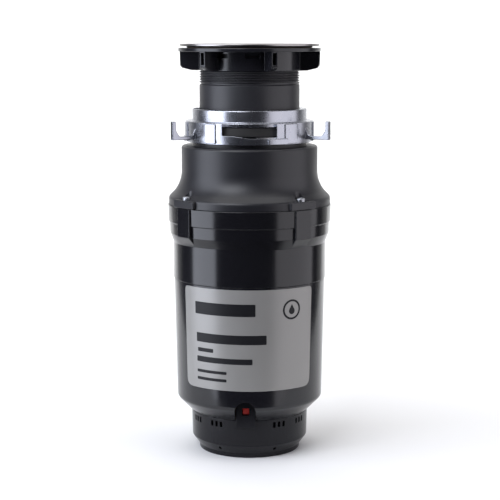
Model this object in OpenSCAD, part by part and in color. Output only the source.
// Kitchen garbage disposer, continuous feed, with a threaded sink flange and a twist-on mount ring.
// Origin: centre of the base face. +Z runs up the drive shaft and the label side faces -Y.
// Bearings round the axis are in degrees from the label side, positive towards +X.

/* [Housing radii] */
// Outer radius of the upper case below its band
case_r = 63.4; // [60:0.1:78]
// How far the band stands out from the upper case
band_out = 4.2; // [3:0.1:6]
// Taper of the motor shell, top to bottom
shell_taper = 2.3; // [1:0.1:4]
// Outer radius of the end bell
bell_r = 48.6; // [44:0.1:54]
// Outer radius of the plinth the object stands on
plinth_r = 42.1; // [36:0.1:44]
// Step from the mount ring out to the hopper neck
neck_out = 3.7; // [3:0.1:5]
// Wall of the motor shell
shell_wall = 2.2; // [1.6:0.1:3]
// Wall of the upper case
case_wall = 3.0; // [2.4:0.1:3.4]
// Wall of the hopper
hopper_wall = 2.9; // [2.4:0.1:3.4]

/* [Housing heights] */
// Height of the plinth
plinth_h = 3.7; // [3.7:0.1:8]
// Height of the chamfer between plinth and end bell
foot_h = 7.6; // [5:0.1:12]
// Height of the end bell's straight side
bell_h = 21.9; // [19:0.1:30]
// Height of the bevel under the motor shell
bevel_h = 11.8; // [8:0.1:16]
// Height of the motor shell above the bevel
shell_h = 100.2; // [96:0.1:125]
// Height of the upper case
case_h = 61.3; // [58:0.1:75]
// Height of the hopper, screw face to neck top
hopper_h = 48.1; // [44:0.1:60]
// Height of the hopper's bottom flange
hopper_flange_h = 6.6; // [5:0.1:9]

/* [Mount ring] */
// Gap between the hopper neck and the mount ring
ring_gap = 3.2; // [2:0.1:5]
// Step from the collar out to the mount ring's body
ring_out = 5.4; // [5:0.1:7]
// Height of the mount ring's body
ring_h = 17.3; // [17.2:0.1:22]
// Step from the sleeve out to the mount ring's collar
collar_out = 5.9; // [5.8:0.1:7.2]
// Height of the mount ring's collar
collar_h = 9.8; // [6:0.1:14]
// How far the ears stand out from the mount ring
ear_out = 20.6; // [16:0.1:25]
// Angle the ring turns to let go of the sink flange
ring_turn = 45; // [44:1:46]

/* [Sink flange] */
// Width of the stainless rim outside its seat
rim_out = 5.55; // [4:0.05:9]
// Inner radius of the throat
throat_r = 37.5; // [31:0.1:38]
// Thickness of the stainless sheet
sheet = 0.9; // [0.7:0.1:1]
// Wall of the sleeve
sleeve_wall = 2.7; // [2.4:0.1:3.4]
// Length of sleeve between the mount ring and the support nut
sleeve_show = 31.0; // [24:0.1:40]
// Thread pitch
pitch = 2.0; // [1.5:0.1:3]
// Length of thread showing below the support nut
thread_show = 11.4; // [8:0.1:16]
// Overall height of the support nut
nut_h = 18.2; // [15:0.1:24]
// Width of the support nut's flange outside the sleeve
nut_out = 17.3; // [15:0.1:21]
// Number of spanner lugs on the support nut
nut_lugs = 6; // [6]

/* [Grinding parts] */
// Thickness of the grind ring
grind_t = 1.5; // [1:0.1:2]
// Thickness of the turntable
table_t = 2.0; // [1.5:0.1:3]
// Gap between the turntable and the grind ring's teeth
table_gap = 0.8; // [0.6:0.1:1.2]
// Radius at which the impellers are pinned
impeller_at = 36.5; // [34:0.1:38]
// Radius of an impeller pin
pin_r = 2.5; // [2:0.1:3]
// Radius of the impeller's sweep round its pin
impeller_reach = 15.0; // [13:0.1:15]

/* [Motor] */
// Outer radius of the motor can
can_r = 44.5; // [37:0.1:45]
// Wall of the motor can
can_wall = 1.8; // [1.5:0.1:2.5]
// Thickness of the magnets
magnet_t = 5.0; // [4:0.1:6]
// Air gap between magnets and armature
air_gap = 0.7; // [0.5:0.1:1]
// Number of armature slots
slots = 12; // [8:2:16]
// Radius of the shaft in the lower bearing and at the turntable
shaft_r = 6.0; // [5:0.1:7]
// Radius of the thick middle of the shaft
shaft_thick_r = 7.5; // [7:0.1:8.5]
// Length of the armature core
core_h = 42; // [36:1:48]

/* [Reset button] */
// Width across the button
button_w = 5.6; // [5:0.1:7]
// Travel of the button
button_travel = 3.0; // [2:0.1:4]
// Bearing of the button round the end bell
button_at = -3.5; // [-10:0.5:10]

/* [Openings] */
// Bore radius of the discharge outlet
outlet_r = 15.5; // [13:0.1:16]
// How far the outlet stands out from the band
outlet_out = 11.4; // [9:0.1:18]
// Outer radius of the dishwasher nipple
nipple_r = 11.1; // [10:0.1:12]
// Bore radius of the dishwasher nipple
nipple_bore_r = 8.5; // [7:0.1:9]
// Radius of the cable knock-out in the bottom cover
knockout_r = 11.1; // [10:0.1:11.5]

/* [Fits] */
// Running clearance of shafts and pins, on the radius
run = 0.04; // [0.03:0.01:0.06]
// Clearance of the nut over the thread, on the radius
thread_fit = 0.10; // [0.08:0.01:0.12]
// Clearance of loose parts
loose = 0.4; // [0.3:0.05:0.5]

/* [Hidden] */
$fn = 96;
eps = 0.01;
cut = 1;

// Heights above the base
z_foot = plinth_h + foot_h;
z_bell = z_foot + bell_h;
z_bevel = z_bell + bevel_h;
z_seam = z_bevel + shell_h;
z_case = z_seam + case_h;
z_flange = z_case + hopper_flange_h;
z_neck = z_case + hopper_h;
z_ring = z_neck + ring_gap;
z_ring_top = z_ring + ring_h;
z_collar = z_ring_top + collar_h;
z_nut = z_collar + sleeve_show;
z_nut_top = z_nut + nut_h;
washer_t = 0.6;
gasket_t = 0.7;
z_seat = z_nut_top + washer_t + gasket_t;

// Radii above the case
sleeve_bore = throat_r + sheet;
sleeve_r = sleeve_bore + sleeve_wall;
collar_r = sleeve_r + collar_out;
ring_r = collar_r + ring_out;
neck_r = ring_r + neck_out;
ear_reach = ring_r + ear_out;
nut_flange_r = sleeve_r + nut_out;
bend_r = 4.0;
bend_x = sleeve_bore + bend_r;
seat_w = 9.2;
flange_seat_r = bend_x + seat_w;
rim_r = flange_seat_r + rim_out;

// Housing
shell_top_r = case_r - 0.6;
shell_foot_r = shell_top_r - shell_taper;
seam_gap = 0.2;
band_r = case_r + band_out;
step_r = band_r - 1.2;
z_step = z_case - 14.3;
z_chamfer = z_case - 23.3;
z_straight = z_case - 30.9;
floor_t = 3;

// Screw bosses
boss_at = [-51, 39, 129, 219];
boss_w = 16;
screw_r = 2.2;
screw_head_r = 3.6;
screw_head_h = 3;
screw_at = band_r - 3.1;
boss_face = screw_at + 4.1;
ear_w = 26;

// Grinding chamber
pocket_r = band_r - 10.2;
grind_r = pocket_r - 0.2;
grind_in_r = grind_r - grind_t;
tooth = 1.0;
z_ledge = z_case - 9.5;
z_sump = z_straight - 15.6;
sump_r = case_r - case_wall;
table_r = grind_in_r - tooth - table_gap;
z_table = z_ledge + 2.2;
z_table_top = z_table + table_t;
grind_h = 21.8;

// Sink mount
z_bend = z_seat - bend_r;
rim_rise = 1.1;
z_rim = z_seat + rim_rise + sheet;
tube_h = 12.4;
z_tube = z_bend - tube_h;
thread_r = sleeve_r + 0.1;
root_r = thread_r - 0.9;
nut_bore_r = thread_r + thread_fit;
nut_wall = 0.8;
nut_r = nut_bore_r + nut_wall;
lug_reach = nut_flange_r - 0.3;

// Mount ring stack
lip_h = 4.0;
retainer_h = 1.6;
z_retainer = z_ring + lip_h + 0.2;
z_spigot = z_retainer + retainer_h + 1.0;
cushion_t = 1.4;
z_sleeve = z_spigot + cushion_t;
sleeve_lug_h = 5.6;
sleeve_lug_r = collar_r - 1.4;
sleeve_lug_span = 36;
z_lug_top = z_sleeve + sleeve_lug_h;
spigot_r = collar_r - 0.4;
groove_r = spigot_r - 1.4;
cavity_r = ring_r - 3.0;
cushion_r = cavity_r - loose;
throat_bore = sleeve_bore + 0.1;

// Motor stack
z_bracket = z_bevel + 1.4;
bracket_t = 4;
z_can = z_bracket + bracket_t;
z_floor = z_sump - 4;
z_brush = z_can + 8;
z_core = z_can + 34;
magnet_in_r = can_r - can_wall - magnet_t;
core_r = magnet_in_r - air_gap;
bolt_at = can_r + 3.1;
bolt_r = 2;
bearing_r = 13;
seal_r = 14;
z_hub = z_floor - 10;
post_at = 30;
post_bearings = [60, 180, 300];
bolt_bearings = [45, 135, 225, 315];

// Base
cover_r = plinth_r - 6.3;
cover_t = 1.5;
bell_wall = 2.5;

// ---- shared shapes ----
module at(bearing) { rotate([0, 0, bearing - 90]) children(); }

module tube(r_in, r_out, z_low, z_high) {
    translate([0, 0, z_low]) difference() {
        cylinder(r = r_out, h = z_high - z_low);
        translate([0, 0, -cut]) cylinder(r = r_in, h = z_high - z_low + 2 * cut);
    }
}

module disc(r, z_low, z_high) { translate([0, 0, z_low]) cylinder(r = r, h = z_high - z_low); }

// Part of a tube, centred on a bearing
module sector(r_in, r_out, z_low, z_high, bearing, span) {
    at(bearing) rotate([0, 0, -span / 2]) rotate_extrude(angle = span)
        translate([r_in, z_low]) square([r_out - r_in, z_high - z_low]);
}

// Outline in the radial plane, given a width across it
module radial_plate(width) { rotate([90, 0, 0]) linear_extrude(width, center = true) children(); }

// Points along an arc
function arc(x, z, r, a0, a1, n = 8) =
    [for (i = [0:n]) let (a = a0 + (a1 - a0) * i / n) [x + r * cos(a), z + r * sin(a)]];

// Round wire swept along points
function unit(v) = v / norm(v);
function tangent(p, i) = unit(p[min(i + 1, len(p) - 1)] - p[max(i - 1, 0)]);
module wire(p, r, up = [0, 0, 1], sides = 8) {
    rings = [for (i = [0:len(p) - 1])
        let (t = tangent(p, i), a = unit(cross(t, up)), b = cross(t, a))
        for (k = [0:sides - 1]) p[i] + r * (a * cos(360 * k / sides) + b * sin(360 * k / sides))];
    last = (len(p) - 1) * sides;
    sides_list = [for (i = [0:len(p) - 2]) for (k = [0:sides - 1])
        [i * sides + k, (i + 1) * sides + k, (i + 1) * sides + (k + 1) % sides, i * sides + (k + 1) % sides]];
    polyhedron(rings, concat([[for (k = [0:sides - 1]) k]], sides_list,
                             [[for (k = [sides - 1:-1:0]) last + k]]));
}

// ---- base ----
counterbore = 3;
wiring_r = 24;
z_deck = plinth_h + floor_t;
tab_w = 17;
tab_face = bell_r + 1.6;
tab_back = max(can_r + 0.6, bell_r - 3.5);
tab_top = z_bevel + 6.5;
z_button = z_bell + 7.8;
ground_at = 125;
recess_r = 5.8;
recess_d = button_travel - 0.4;
hole_w = button_w + 0.6;

// Arch seen from outside, base at the bell's rim
module arch(width, top, low) {
    translate([-width / 2, low]) square([width, top - width / 2 - low]);
    translate([0, top - width / 2]) circle(r = width / 2);
}

module arch_block(width, top, low, from, to) {
    at(button_at) translate([from, 0, 0]) rotate([90, 0, 90]) linear_extrude(to - from)
        arch(width, top, low);
}

module end_bell() {
    color("#1c1c20") difference() {
        union() {
            rotate_extrude() polygon([
                [plinth_r - 5.8, 0], [plinth_r, 0], [plinth_r, plinth_h], [plinth_r + 0.4, plinth_h],
                [bell_r - 0.5, z_foot], [bell_r, z_bell - 0.5], [bell_r - 0.4, z_bell],
                [bell_r - bell_wall, z_bell], [bell_r - bell_wall - 0.4, z_foot + 1],
                [plinth_r - 2.6, z_deck], [wiring_r, z_deck], [wiring_r, cover_t],
                [plinth_r - 5.8, cover_t]]);
            arch_block(tab_w - 2 * loose, tab_top - loose, z_bell - 6, tab_back, tab_face);
        }
        at(button_at) translate([tab_face - recess_d, 0, z_button]) rotate([0, 90, 0])
            cylinder(r = recess_r, h = 10);
        at(button_at) translate([bell_r - 20, -hole_w / 2, z_button - hole_w / 2])
            cube([30, hole_w, hole_w]);
        for (a = [-62, -34, 30, 58]) at(a) for (k = [-1:1])
            translate([bell_r - 6, k * 4.4 - 1.2, z_bell - 7]) cube([12, 2.4, 4.6]);
        for (a = [-32, 27, 147, 212]) at(a) translate([plinth_r - 5, 0, plinth_h + 3.9])
            rotate([0, 90, 0]) cylinder(r = 1.3, h = 14);
        for (a = post_bearings) at(a) translate([post_at, 0, 0]) {
            disc(screw_r, 0, z_deck + cut);
            disc(screw_head_r + loose, 0, cover_t + counterbore);
        }
        for (s = [-1, 1]) translate([s * (cover_r - 4), 0, 0]) disc(1.6, 0, z_deck - 1);
        at(ground_at) translate([post_at + 1, 0, 0]) disc(1.9, cover_t + 1, z_deck + cut);
    }
}

module bottom_cover() {
    color("silver") difference() {
        disc(cover_r, 0, cover_t);
        translate([0, 12, -cut]) cylinder(r = knockout_r, h = cover_t + 2 * cut);
        for (s = [-1, 1]) translate([s * (cover_r - 4), 0, 0]) cylinder(r1 = 3, r2 = 1.6, h = cover_t);
    }
}

module cover_screws() {
    color("silver") for (s = [-1, 1]) translate([s * (cover_r - 4), 0, 0]) {
        cylinder(r1 = 3, r2 = 1.6, h = cover_t);
        disc(1.6, cover_t - eps, z_deck - 1);
    }
}

module ground_screw() {
    color("green") at(ground_at) translate([post_at + 1, 0, 0]) {
        translate([0, 0, z_deck]) cylinder(r = 4.2, h = 3, $fn = 6);
        disc(1.9, cover_t + 1, z_deck + eps);
    }
}

module bell_screws() {
    color("silver") for (a = post_bearings) at(a) translate([post_at, 0, 0]) {
        disc(screw_head_r, cover_t + loose, cover_t + counterbore);
        disc(screw_r, cover_t + counterbore - eps, z_deck + 12);
    }
}

// ---- motor shell ----
pocket_wall = 1.5;

module shell_outline(inset) {
    polygon([[0, z_bell - inset], [bell_r + 0.1 - inset, z_bell - inset],
             [shell_foot_r - inset, z_bevel - inset * 0.4],
             [shell_top_r - inset, z_seam - seam_gap + inset], [0, z_seam - seam_gap + inset]]);
}

module motor_shell() {
    color("#18181c") difference() {
        union() {
            difference() {
                rotate_extrude() polygon([
                    [bell_r + 0.1, z_bell], [shell_foot_r, z_bevel], [shell_top_r, z_seam - seam_gap],
                    [shell_top_r - shell_wall, z_seam - seam_gap],
                    [shell_foot_r - shell_wall, z_bevel + 0.9],
                    [bell_r - shell_wall + 0.9, z_bell]]);
                arch_block(tab_w + 2 * pocket_wall, tab_top + pocket_wall, z_bell - 8, bell_r - 8, case_r + 8);
            }
            intersection() {
                difference() {
                    arch_block(tab_w + 2 * pocket_wall, tab_top + pocket_wall, z_bell, tab_face - 2, case_r + 8);
                    arch_block(tab_w, tab_top, z_bell - 8, bell_r - 8, case_r + 10);
                }
                rotate_extrude() shell_outline(0);
            }
        }
    }
}

label_span = 109;
label_t = 0.3;
label_low = z_bevel + 15.6;
label_high = z_seam - 1.7;
function shell_r(z) = shell_foot_r + (shell_top_r - shell_foot_r) * (z - z_bevel) / (shell_h - seam_gap);

module label() {
    color("silver") at(-1.5) rotate([0, 0, -label_span / 2]) rotate_extrude(angle = label_span)
        polygon([[shell_r(label_low), label_low], [shell_r(label_low) + label_t, label_low],
                 [shell_r(label_high) + label_t, label_high], [shell_r(label_high), label_high]]);
}

liner_in_r = can_r + 6.5;
module sound_liner() {
    color("dimgray") tube(liner_in_r, shell_foot_r - shell_wall - 0.8, z_can + 4, z_seam - 10);
}

// ---- reset button and electrics ----
button_flush = 0.6;
protector_w = 20;
protector_d = 12;
protector_out = tab_back;

module reset_button() {
    color("crimson") at(button_at) {
        translate([protector_out - 7, -button_w / 2, z_button - button_w / 2])
            cube([tab_face - recess_d + button_flush - protector_out + 7, button_w, button_w]);
    }
}

module overload_protector() {
    color("black") at(button_at) difference() {
        translate([protector_out - protector_d, -protector_w / 2, z_button - 8])
            cube([protector_d, protector_w, 13]);
        translate([protector_out - protector_d + 2, -hole_w / 2, z_button - hole_w / 2])
            cube([protector_d, hole_w, hole_w]);
    }
}

rectifier_w = 2 * (bolt_at * sin(15) - 4.1);
module rectifier() {
    color("#303036") at(150) translate([post_at - 8, -rectifier_w / 2, z_bracket - 7])
        difference() {
            cube([16, rectifier_w, 7]);
            translate([8, rectifier_w / 2, -cut]) cylinder(r = 2, h = 7 + 2 * cut);
        }
}

// Bends of the two leads in the wiring space, from the protector to above the cable hole
lead_from = tab_back - protector_d - 3.1;
lead_r = 1.3;
function reach_in(share) = -lead_from * share;
live_route = [[8, reach_in(1), 38], [8, reach_in(0.87), 38], [9, reach_in(0.73), 36],
              [10, reach_in(0.6), 30], [10, reach_in(0.47), 24], [8, reach_in(0.27), 18],
              [6, 0, 14], [5, 6, 12], [5, 10, 11], [5, 14, 11], [6, 18, 12]];
neutral_route = [[-12, reach_in(1), 38], [-12, reach_in(0.87), 38], [-12, reach_in(0.73), 35],
                 [-12, reach_in(0.57), 28], [-12, reach_in(0.4), 22], [-10, reach_in(0.2), 16],
                 [-8, 0, 13], [-7, 6, 11.5], [-6, 12, 11], [-6, 17, 12]];
module live_lead() { color("black") wire(live_route, lead_r); }
module neutral_lead() { color("white") wire(neutral_route, lead_r); }

// ---- motor ----
post_r = 4;
lower_hub_r = 15;
z_lower_bearing = z_bracket - 14;
lower_bearing_r = 11;
lower_bearing_h = 12;
z_shaft = z_lower_bearing - 2;
bracket_r = shell_foot_r - shell_wall - 0.4;

module lower_bracket() {
    color("silver") difference() {
        union() {
            disc(bracket_r, z_bracket, z_can);
            disc(lower_hub_r, z_lower_bearing - 4, z_bracket + eps);
            for (a = post_bearings) at(a) translate([post_at, 0, 0])
                disc(post_r, z_deck, z_bracket + eps);
        }
        disc(lower_bearing_r, z_lower_bearing, z_can + cut);
        disc(shaft_r + 1.5, z_lower_bearing - 2.4, z_lower_bearing + cut);
        for (a = post_bearings) at(a) translate([post_at, 0, z_deck - cut])
            cylinder(r = screw_r, h = 13 + cut);
        for (a = bolt_bearings) at(a) translate([bolt_at, 0, z_bracket - cut])
            cylinder(r = bolt_r + 0.1, h = bracket_t + 2 * cut);
        for (a = [0:30:330]) at(a + 15) translate([23, 0, z_bracket - cut])
            cylinder(r = 2.5, h = bracket_t + 2 * cut);
        at(150) translate([post_at, 0, z_bracket - cut]) cylinder(r = 2, h = bracket_t + 2 * cut);
        at(button_at) translate([tab_back - 1.2, -tab_w / 2 - pocket_wall - loose, z_bracket - cut])
            cube([bracket_r, tab_w + 2 * pocket_wall + 2 * loose, bracket_t + 2 * cut]);
    }
}

module lower_bearing() {
    color("darkgoldenrod") tube(shaft_r + run, lower_bearing_r, z_lower_bearing,
                                z_lower_bearing + lower_bearing_h);
}

module thrust_washer() {
    color("silver") tube(shaft_r + 0.3, lower_bearing_r - 1, z_lower_bearing + lower_bearing_h,
                         z_lower_bearing + lower_bearing_h + 1);
}

bolt_head_h = 2.6;
module through_bolts() {
    color("silver") for (a = bolt_bearings) at(a) translate([bolt_at, 0, 0]) {
        translate([0, 0, z_bracket - bolt_head_h]) cylinder(r = 3.6, h = bolt_head_h, $fn = 6);
        disc(bolt_r, z_bracket, z_floor + 3);
    }
}

module motor_can() {
    color("gray") difference() {
        disc(can_r, z_can, z_floor);
        disc(can_r - can_wall, z_can - cut, z_floor - 2);
        disc(seal_r + 4.4, z_floor - 3, z_floor + cut);
        for (a = [0, 180]) at(a) translate([can_r - 4, -6, z_brush]) cube([8, 12, 9]);
    }
}

module magnets() {
    color("#4a4a50") for (a = [-90, 90])
        sector(magnet_in_r, can_r - can_wall, z_core - 3, z_core + core_h + 3, a, 134);
}

commutator_r = 15;
commutator_h = 16;
z_commutator = z_brush - 4;
brush_w = 6;
brush_h = 9;
brush_face = commutator_r + 0.05;
holder_t = 1;
holder_from = commutator_r + 2.4;
holder_l = can_r - can_wall - 1.3 - holder_from;
brush_l = holder_l * 0.54;

module brush_plate() {
    color("tan") difference() {
        disc(can_r - can_wall - 0.3, z_can, z_can + 3);
        disc(commutator_r + 2, z_can - cut, z_can + 3 + cut);
        for (a = [0:30:330]) at(a + 15) translate([23, 0, z_can - cut])
            cylinder(r = 2.5, h = 3 + 2 * cut);
    }
}

module brush_holders() {
    color("goldenrod") for (a = [0, 180]) at(a) difference() {
        translate([holder_from, -brush_w / 2 - holder_t, z_can + 3])
            cube([holder_l, brush_w + 2 * holder_t, z_brush + brush_h + holder_t - z_can - 3]);
        translate([holder_from - cut, -brush_w / 2, z_brush])
            cube([holder_l - holder_t + cut, brush_w, brush_h]);
    }
}

module brushes() {
    color("#2a2a2a") for (a = [0, 180]) at(a)
        translate([brush_face, -brush_w / 2 + 0.1, z_brush + 0.1])
            cube([brush_l, brush_w - 0.2, brush_h - 0.2]);
}

spring_coils = 5;
spring_r = 1.9;
spring_wire = 0.35;
spring_from = brush_face + brush_l + spring_wire;
spring_to = holder_from + holder_l - holder_t - spring_wire;
module brush_springs() {
    color("silver") for (a = [0, 180]) at(a) translate([0, 0, z_brush + brush_h / 2])
        wire([for (i = [0:spring_coils * 12]) let (t = 30 * i)
              [spring_from + (spring_to - spring_from) * i / (spring_coils * 12),
               spring_r * cos(t), spring_r * sin(t)]], spring_wire, up = [1, 0, 0], sides = 6);
}

slot_in_r = 18;
slot_out_r = core_r - 3;
slot_half = 180 / slots * 0.56;
module slot_row(z_low, z_high, inset) {
    for (k = [0:slots - 1])
        sector(slot_in_r + inset, slot_out_r - inset, z_low, z_high, k * 360 / slots,
               2 * slot_half - 2 * inset);
}

module armature_core() {
    color("#6a6a70") difference() {
        disc(core_r, z_core, z_core + core_h);
        disc(shaft_thick_r, z_core - cut, z_core + core_h + cut);
        slot_row(z_core - cut, z_core + core_h + cut, 0);
        for (k = [0:slots - 1]) at(k * 360 / slots)
            translate([slot_out_r - cut, -1.2, z_core - cut]) cube([6, 2.4, core_h + 2 * cut]);
    }
}

coil_h = 8;
module armature_windings() {
    color("#b5651d") {
        slot_row(z_core - coil_h / 2, z_core + core_h + coil_h / 2, 0.15);
        for (z = [z_core - coil_h - 0.3, z_core + core_h + 0.3])
            rotate_extrude() polygon([
                [slot_in_r - 3, z], [slot_out_r - 5, z], [slot_out_r - 1, z + 3],
                [slot_out_r - 1, z + coil_h - 3], [slot_out_r - 5, z + coil_h],
                [slot_in_r - 3, z + coil_h]]);
    }
}

bars = 2 * slots;
module commutator() {
    color("#b87333") difference() {
        disc(commutator_r, z_commutator, z_commutator + commutator_h);
        disc(shaft_r, z_commutator - cut, z_commutator + commutator_h + cut);
        for (k = [0:bars - 1]) at(k * 360 / bars)
            translate([commutator_r - 1.2, -0.25, z_commutator + 2]) cube([3, 0.5, commutator_h]);
    }
}

z_thick = z_commutator + commutator_h + 1;
module drive_shaft() {
    color("lightgray") {
        disc(shaft_r, z_shaft, z_thick + eps);
        disc(shaft_thick_r, z_thick, z_table - 3);
        disc(shaft_r, z_table - 3 - eps, z_table_top + 10);
    }
}

// ---- upper case ----
z_outlet = z_sump + outlet_r + 4;
outlet_reach = band_r + outlet_out;
outlet_ear_at = 30;

module boss_column() {
    radial_plate(boss_w) polygon([[sump_r + 0.6, z_case], [boss_face, z_case],
                                  [boss_face, z_chamfer], [case_r - 1, z_straight + 0.5],
                                  [sump_r + 0.6, z_straight + 0.5]]);
}

module upper_case() {
    color("#18181c") difference() {
        union() {
            rotate_extrude() polygon([
                [seal_r + 4, z_hub - 1], [seal_r + 4, z_floor], [sump_r - 0.4, z_floor],
                [sump_r - 0.4, z_seam - 5], [shell_top_r - shell_wall - 0.2, z_seam - 5],
                [shell_top_r - shell_wall - 0.2, z_seam], [case_r, z_seam],
                [case_r, z_straight], [step_r - 0.2, z_chamfer], [step_r, z_step],
                [band_r - 0.2, z_step + 0.6], [band_r, z_case - 0.6], [band_r - 0.6, z_case],
                [pocket_r, z_case], [pocket_r, z_ledge], [grind_in_r - 0.3, z_ledge],
                [grind_in_r - 0.3, z_ledge - 1.5], [sump_r, z_ledge - 4], [sump_r, z_sump],
                [seal_r + 3, z_sump], [seal_r + 3, z_sump + 8], [bearing_r - 4, z_sump + 8],
                [bearing_r - 4, z_hub - 1]]);
            for (a = boss_at) at(a) boss_column();
            at(180) translate([sump_r + 0.5, 0, z_outlet]) rotate([0, 90, 0])
                cylinder(r = outlet_r + 7.5, h = outlet_reach - sump_r - 0.5);
            at(180) translate([outlet_reach - 5, 0, z_outlet]) rotate([90, 0, 90]) linear_extrude(5)
                hull() for (s = [-1, 1]) translate([s * outlet_ear_at, 0]) circle(r = 7, $fn = 32);
        }
        at(180) translate([sump_r - 5, 0, z_outlet]) rotate([0, 90, 0])
            cylinder(r = outlet_r, h = outlet_reach);
        at(180) translate([outlet_reach - 3, 0, z_outlet]) rotate([0, 90, 0])
            cylinder(r = outlet_r + 3.7, h = 3 + cut);
        for (s = [-1, 1]) at(180) translate([outlet_reach - 14, s * outlet_ear_at, z_outlet])
            rotate([0, 90, 0]) cylinder(r = screw_r, h = 14 + cut);
        for (a = boss_at) at(a) translate([screw_at, 0, z_case - 18])
            cylinder(r = screw_r, h = 18 + cut);
        for (a = bolt_bearings) at(a) translate([bolt_at, 0, z_floor - cut])
            cylinder(r = bolt_r, h = 3 + cut);
        disc(bearing_r, z_hub, z_floor);
        disc(seal_r, z_floor + 1, z_sump + 8 + cut);
        disc(shaft_thick_r + 1, z_hub - 2, z_sump + 9);
    }
}

module upper_bearing() {
    color("darkgoldenrod") tube(shaft_thick_r + run, bearing_r, z_hub, z_floor);
}

module shaft_seal() {
    color("#202020") rotate_extrude() polygon([
        [shaft_thick_r + 1.5, z_floor + 1], [seal_r, z_floor + 1], [seal_r, z_sump + 6],
        [shaft_thick_r + 2, z_sump + 6], [shaft_thick_r + run, z_sump + 5],
        [shaft_thick_r + run, z_sump + 4], [shaft_thick_r + 1.5, z_sump + 3]]);
}

module water_slinger() {
    color("#303030") rotate_extrude() polygon([
        [shaft_thick_r, z_sump + 10], [seal_r + 6, z_sump + 9], [seal_r + 6, z_sump + 10.4],
        [shaft_thick_r + 3, z_sump + 12], [shaft_thick_r + 3, z_sump + 14],
        [shaft_thick_r, z_sump + 14]]);
}

// ---- grinding parts ----
module turntable() {
    color("silver") difference() {
        union() {
            disc(table_r, z_table, z_table_top);
            disc(shaft_thick_r + 4, z_table - 3, z_table + eps);
            for (a = [45:90:315]) at(a) translate([table_r - 12, -1, z_table - 4]) cube([11, 2, 4 + eps]);
        }
        disc(shaft_r, z_table - 4, z_table_top + cut);
        for (a = [0, 180]) at(a + 90) translate([impeller_at, 0, z_table - cut])
            cylinder(r = pin_r, h = table_t + 2 * cut);
        for (a = [0, 60, 120, 180, 240, 300]) at(a) translate([22, 0, z_table - cut])
            cylinder(r = 2.2, h = table_t + 2 * cut);
    }
}

impeller_t = 3.2;
impeller_lift = 0.3;
z_impeller = z_table_top + impeller_lift;
z_pin_head = z_impeller + impeller_t + 0.3;

module impeller_pins() {
    color("lightgray") for (a = [0, 180]) at(a + 90) translate([impeller_at, 0, 0]) {
        disc(pin_r + 1.5, z_table - 2, z_table);
        disc(pin_r, z_table - eps, z_pin_head + eps);
        disc(pin_r + 1.7, z_pin_head, z_pin_head + 1.6);
    }
}

toe_h = 13;
toe_w = 11;
module impeller(turn) {
    toe_out = sqrt(impeller_reach * impeller_reach - toe_w * toe_w / 4);
    rotate([0, 0, turn]) difference() {
        union() {
            translate([0, 0, z_impeller]) cylinder(r = pin_r + 4, h = impeller_t);
            translate([0, -toe_w / 2, z_impeller]) cube([toe_out, toe_w, impeller_t]);
            radial_plate(toe_w) polygon([[pin_r + 2.6, z_impeller + impeller_t - eps],
                [toe_out, z_impeller + impeller_t - eps], [toe_out, z_impeller + toe_h],
                [toe_out - 4, z_impeller + toe_h]]);
        }
        translate([0, 0, z_impeller - cut]) cylinder(r = pin_r + run, h = toe_h);
    }
}
module impeller_right() { color("silver") at(90) translate([impeller_at, 0, 0]) impeller(25); }
module impeller_left() { color("silver") at(270) translate([impeller_at, 0, 0]) impeller(25); }

nut_washer_t = 1.5;
module turntable_washer() {
    color("silver") tube(shaft_r + 0.1, 11.5, z_table_top, z_table_top + nut_washer_t);
}
module turntable_nut() {
    color("silver") difference() {
        translate([0, 0, z_table_top + nut_washer_t]) cylinder(r = 10.4, h = 7, $fn = 6);
        disc(shaft_r, z_table_top, z_table_top + 20);
    }
}

teeth = 18;
module grind_ring() {
    color("lightgray") difference() {
        union() {
            tube(grind_in_r, grind_r, z_ledge, z_ledge + grind_h);
            for (k = [0:teeth - 1])
                sector(grind_in_r - tooth, grind_in_r + 0.2, z_table_top + 2, z_ledge + grind_h - 4,
                       k * 360 / teeth, 6);
        }
        for (k = [0:teeth - 1]) at((k + 0.5) * 360 / teeth)
            translate([grind_in_r - 4, -1.6, z_ledge - cut]) cube([8, 3.2, 5]);
    }
}

// ---- hopper ----
gasket_in_r = pocket_r + 1.2;
gasket_w = 2.0;
gasket_h = 1.5;
shoulder_drop = 16.9;
shoulder_out = 6.2;
shoulder_arc = (shoulder_drop * shoulder_drop + shoulder_out * shoulder_out) / (2 * shoulder_out);
shoulder_end = 2 * atan(shoulder_out / shoulder_drop);
waist_r = band_r - 5.3 - shoulder_out;
nipple_at = -150;
nipple_reach = neck_r + 22;
z_nipple = z_neck - nipple_r - 5;
hose_l = 18;
hose_stop = 1.6;

module housing_gasket() {
    color("#202020") tube(gasket_in_r, gasket_in_r + gasket_w, z_case, z_case + gasket_h);
}

module nipple_outline() {
    root = neck_r - 2;
    polygon([[0, 0], [nipple_r + hose_stop, 0], [nipple_r + hose_stop, nipple_reach - hose_l - root],
             [nipple_r, nipple_reach - hose_l - root], [nipple_r, nipple_reach - root],
             [0, nipple_reach - root]]);
}

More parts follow.
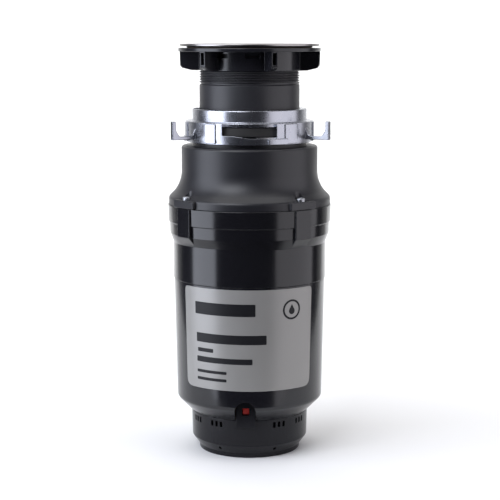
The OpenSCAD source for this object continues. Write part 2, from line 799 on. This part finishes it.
module hopper_walls() {
    z_arc = z_flange + 4 + shoulder_drop;
    z_cone = z_neck - 12;
    z_pocket = z_ledge + grind_h + 0.2;
    difference() {
        union() {
            rotate_extrude() polygon(concat(
                [[pocket_r, z_case], [band_r - 0.8, z_case], [band_r - 0.8, z_flange - 2.2]],
                arc(band_r - 5.0, z_flange - 2.2, 4.2, 0, 52, 6),
                arc(waist_r + shoulder_arc, z_arc, shoulder_arc, 180 + shoulder_end, 180, 10),
                abs(neck_r - waist_r) > eps ? [[neck_r, z_cone]] : [],
                arc(neck_r - 2, z_neck - 2, 2, 0, 90, 5),
                [[spigot_r, z_neck], [spigot_r, z_retainer], [groove_r, z_retainer],
                 [groove_r, z_retainer + retainer_h], [spigot_r, z_retainer + retainer_h],
                 [spigot_r, z_spigot], [0, z_spigot], [0, z_pocket], [pocket_r, z_pocket]]));
            for (a = boss_at) at(a) translate([pocket_r + 3, -ear_w / 2, z_case])
                cube([boss_face - pocket_r - 3, ear_w, hopper_flange_h]);
            at(nipple_at) translate([neck_r - 2, 0, z_nipple]) rotate([0, 90, 0])
                rotate_extrude() nipple_outline();
        }
        rotate_extrude() polygon([
            [0, z_spigot + cut], [throat_bore, z_spigot + cut], [throat_bore, z_neck - 5],
            [neck_r - hopper_wall, z_neck - 16], [waist_r - hopper_wall, z_arc - 4],
            [waist_r - hopper_wall, z_pocket + 3.8], [grind_in_r - 2, z_pocket],
            [grind_in_r - 2, z_pocket - cut], [0, z_pocket - cut]]);
    }
}

module hopper() {
    color("#18181c") difference() {
        hopper_walls();
        for (a = boss_at) at(a) translate([screw_at, 0, 0]) {
            translate([0, 0, z_case - cut]) cylinder(r = screw_r + 0.2, h = hopper_flange_h + 2 * cut);
            translate([0, 0, z_flange]) cylinder(r = screw_head_r + 1, h = 16);
        }
        tube(gasket_in_r, gasket_in_r + gasket_w, z_case - cut, z_case + gasket_h);
        at(nipple_at) translate([neck_r - 8, 0, z_nipple]) rotate([0, 90, 0])
            cylinder(r = nipple_bore_r, h = nipple_reach);
    }
}

module inlet_plug() {
    color("#202024") at(nipple_at) translate([neck_r - 1, 0, z_nipple]) rotate([0, 90, 0])
        cylinder(r = nipple_bore_r, h = 2);
}

module housing_screws() {
    color("silver") for (a = boss_at) at(a) translate([screw_at, 0, 0]) {
        disc(screw_head_r, z_flange, z_flange + screw_head_h);
        disc(screw_r, z_case - 16, z_flange);
    }
}

// ---- mount ring ----
retainer_gap = 14;
module retaining_ring() {
    color("silver") at(0) rotate([0, 0, retainer_gap / 2]) rotate_extrude(angle = 360 - retainer_gap)
        translate([groove_r, z_retainer]) square([cushion_r - groove_r, retainer_h]);
}

module cushion_ring() {
    color("#232326") rotate_extrude() polygon([
        [throat_bore, z_spigot], [cushion_r, z_spigot], [cushion_r, z_lug_top - 0.4],
        [sleeve_lug_r + 0.5, z_lug_top - 0.4], [sleeve_lug_r + 0.5, z_sleeve], [throat_bore, z_sleeve]]);
}

window_w = 43.6;
z_window = z_ring + 7.3;
z_window_low = z_ring + 5.2;
z_window_top = z_ring_top - 0.7;
ear_t = 2.8;
ear_wide = 4;
ear_upright = 3.0;
ear_shift = 1.6;
z_ear = z_ring + 3.2;
ear_top = z_ring_top + 0.9;
notch_play = 2.5;

module window_outline() {
    polygon([[-window_w / 2, z_window], [-window_w / 2 + 8, z_window], [0.5, z_window_low],
             [window_w / 2, z_window_low], [window_w / 2, z_window_top], [-window_w / 2, z_window_top]]);
}

module ear_outline() {
    foot = ear_reach - ear_upright;
    polygon([[cavity_r + 1, z_ear], [ear_reach, z_ear], [ear_reach, ear_top - 0.8],
             [ear_reach - 0.8, ear_top], [foot + 0.8, ear_top], [foot, ear_top - 0.8],
             [foot - 0.4, z_ear + ear_t + 4.5], [foot - 3, z_ear + ear_t + 0.8],
             [foot - 4.5, z_ear + ear_t], [ring_r + 4.5, z_ear + ear_t],
             [ring_r + 2, z_ear + ear_t + 1.2], [ring_r + 0.6, z_ear + ear_t + 5],
             [ring_r - 1, z_ear + ear_t + 7], [cavity_r + 1, z_ear + ear_t + 7]]);
}

module mount_ring() {
    color("gainsboro") difference() {
        union() {
            rotate_extrude() polygon([
                [spigot_r + 0.6, z_ring], [ring_r - 0.9, z_ring], [ring_r, z_ring + 5],
                [ring_r, z_ring_top - 0.5], [ring_r - 0.5, z_ring_top], [collar_r, z_ring_top],
                [collar_r, z_collar], [sleeve_r + 0.5, z_collar], [sleeve_r + 0.5, z_lug_top + loose],
                [cavity_r, z_lug_top + loose], [cavity_r, z_ring + lip_h], [spigot_r + 0.6, z_ring + lip_h]]);
            for (k = [0:2]) {
                at(60 + 120 * k + ear_shift) radial_plate(ear_wide) ear_outline();
                sector(ring_r - 1, ring_r + 0.7, z_ring + 1, z_ring_top - 0.8, 120 * k - 36.5, 11);
                sector(ring_r - 1, ring_r + 0.7, z_ring + 1, z_ring_top - 0.8, 120 * k + 39.5, 14);
                sector(ring_r - 1, ring_r + 0.9, z_ring + 0.4, z_window_low - 0.2, 120 * k + 25.6, 18.6);
            }
        }
        for (k = [0:2]) {
            intersection() {
                at(120 * k) translate([cavity_r - 8, 0, 0]) rotate([90, 0, 90]) linear_extrude(20)
                    window_outline();
                tube(cavity_r - 0.3, ring_r + 4, z_ring + 1, z_ring_top + 1);
            }
            sector(sleeve_r - 1, sleeve_lug_r + loose, z_lug_top - 1, z_collar + cut,
                   120 * k + ring_turn, sleeve_lug_span + notch_play);
        }
    }
}

// ---- sink flange ----
ledge_r = throat_r - 2;
ledge_h = 2.8;
module flange_sleeve() {
    turns = floor((z_seat - 2 - (z_nut - thread_show)) / pitch);
    z_top = z_nut - thread_show + turns * pitch;
    thread = [for (i = [0:turns - 1]) let (z = z_top - i * pitch) for (q = [0:3])
              [q == 0 || q == 3 ? root_r : thread_r, z - pitch * [0.05, 0.35, 0.55, 0.85][q]]];
    color("#2a2a2e") {
        rotate_extrude() polygon(concat(
            [[sleeve_bore, z_bend], [root_r - 0.3, z_seat - 1]], thread,
            [[sleeve_r, z_nut - thread_show - 0.4], [sleeve_r, z_sleeve],
             [sleeve_bore - 0.8, z_sleeve], [sleeve_bore - 0.8, z_tube - ledge_h - 2],
             [ledge_r, z_tube - ledge_h], [ledge_r, z_tube], [sleeve_bore, z_tube]]));
        for (k = [0:2])
            sector(sleeve_r - 0.6, sleeve_lug_r, z_sleeve + 0.3, z_lug_top, 120 * k, sleeve_lug_span);
    }
}

guard_r = throat_r - 0.2;
guard_wall = 2.1;
guard_rim_h = 5.2;
flaps = 8;
module splash_guard() {
    color("#232326") difference() {
        rotate_extrude() polygon([
            [guard_r, z_tube], [guard_r, z_tube + guard_rim_h], [guard_r - guard_wall, z_tube + guard_rim_h],
            [guard_r - guard_wall - 2, z_tube + 2.2], [12, z_tube - 6], [8, z_tube - 6], [8, z_tube - 8],
            [12.5, z_tube - 8], [ledge_r - 1, z_tube - 0.4], [ledge_r, z_tube]]);
        for (k = [0:flaps - 1]) rotate([0, 0, (k + 0.5) * 360 / flaps])
            translate([4, -0.4, z_tube - 12]) cube([24, 0.8, 16]);
    }
}

nut_flange_t = 2.8;
lug_width = 5.3;
lug_wall = 1.1;
lug_drop = 15.6;
windows = [-68.6, -32.6, 3.4, 111.4, 147.4, 183.4];
module nut_lug() {
    z_low = z_nut_top - nut_flange_t - lug_drop;
    difference() {
        radial_plate(lug_width) polygon([[nut_r - 0.4, z_low - 0.2], [lug_reach - 10, z_low],
            [lug_reach - 2, z_low + 2], [lug_reach - 0.4, z_low + 4],
            [lug_reach, z_nut_top - nut_flange_t + eps], [nut_r - 0.4, z_nut_top - nut_flange_t + eps]]);
        translate([nut_r + 1.4, -lug_width / 2 + lug_wall, z_low + 2.4])
            cube([30, lug_width - 2 * lug_wall, lug_drop - 3.6]);
    }
}

module support_nut() {
    color("#1c1c20") difference() {
        union() {
            tube(nut_bore_r, nut_r, z_nut, z_nut_top);
            tube(nut_bore_r, nut_flange_r, z_nut_top - nut_flange_t, z_nut_top);
            for (k = [0:nut_lugs - 1]) at(20 + k * 360 / nut_lugs) nut_lug();
        }
        disc(nut_bore_r, z_nut - cut, z_nut_top + cut);
        for (a = windows) at(a) translate([nut_r - 3, -6, z_nut_top - 8]) cube([6, 12, 3.4]);
    }
}

module fibre_washer() {
    color("#6b4a33") tube(thread_r + 0.5, flange_seat_r - 0.6, z_nut_top, z_nut_top + washer_t);
}

module rim_gasket() {
    color("#151515") tube(bend_x + 0.1, flange_seat_r - 0.1, z_seat - gasket_t, z_seat);
}

module sink_flange() {
    color("lightsteelblue") rotate_extrude() polygon(concat(
        [[rim_r, z_rim - sheet], [rim_r, z_rim - 0.3], [rim_r - 0.4, z_rim], [rim_r - 1.6, z_rim],
         [flange_seat_r - 1, z_seat + sheet]],
        arc(bend_x, z_bend, bend_r + sheet, 90, 180),
        [[throat_r, z_tube], [sleeve_bore, z_tube]],
        arc(bend_x, z_bend, bend_r, 180, 90),
        [[flange_seat_r, z_seat]]));
}

end_bell();
bottom_cover();
cover_screws();
ground_screw();
bell_screws();
motor_shell();
label();
sound_liner();
reset_button();
overload_protector();
rectifier();
live_lead();
neutral_lead();
lower_bracket();
lower_bearing();
thrust_washer();
through_bolts();
motor_can();
magnets();
brush_plate();
brush_holders();
brushes();
brush_springs();
armature_core();
armature_windings();
commutator();
drive_shaft();
upper_case();
upper_bearing();
shaft_seal();
water_slinger();
turntable();
turntable_washer();
turntable_nut();
impeller_pins();
impeller_left();
impeller_right();
grind_ring();
housing_gasket();
hopper();
housing_screws();
inlet_plug();
retaining_ring();
mount_ring();
cushion_ring();
flange_sleeve();
splash_guard();
support_nut();
fibre_washer();
rim_gasket();
sink_flange();
